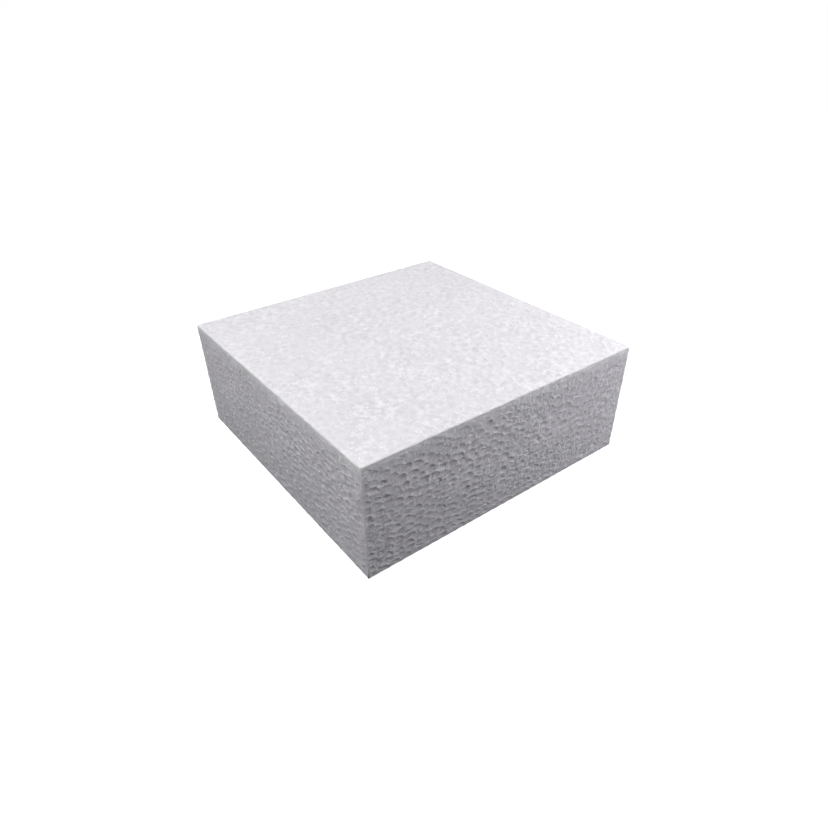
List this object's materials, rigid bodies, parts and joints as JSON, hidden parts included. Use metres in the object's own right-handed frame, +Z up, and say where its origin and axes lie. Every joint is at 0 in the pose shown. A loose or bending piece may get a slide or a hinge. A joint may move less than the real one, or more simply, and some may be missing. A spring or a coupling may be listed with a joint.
{
  "type": "foam cake dummy",
  "caption": "Square foam block with flat, parallel top and underside and straight cut sides, used as a dummy cake tier for icing practice and display cakes.",
  "frame": {"origin": "centre of the flat underside, so the block stands on Z = 0", "axes": "+Z is up, through the height of the tier; X and Y are square to the sides of the block"},
  "size_m": [0.2032, 0.2032, 0.0762],
  "materials": {
    "white_foam": "white expanded polystyrene: matt, with fused bead cells showing on every cut face"
  },
  "bodies": {
    "root": {"foam_block": "white_foam"}
  },
  "joints": []
}
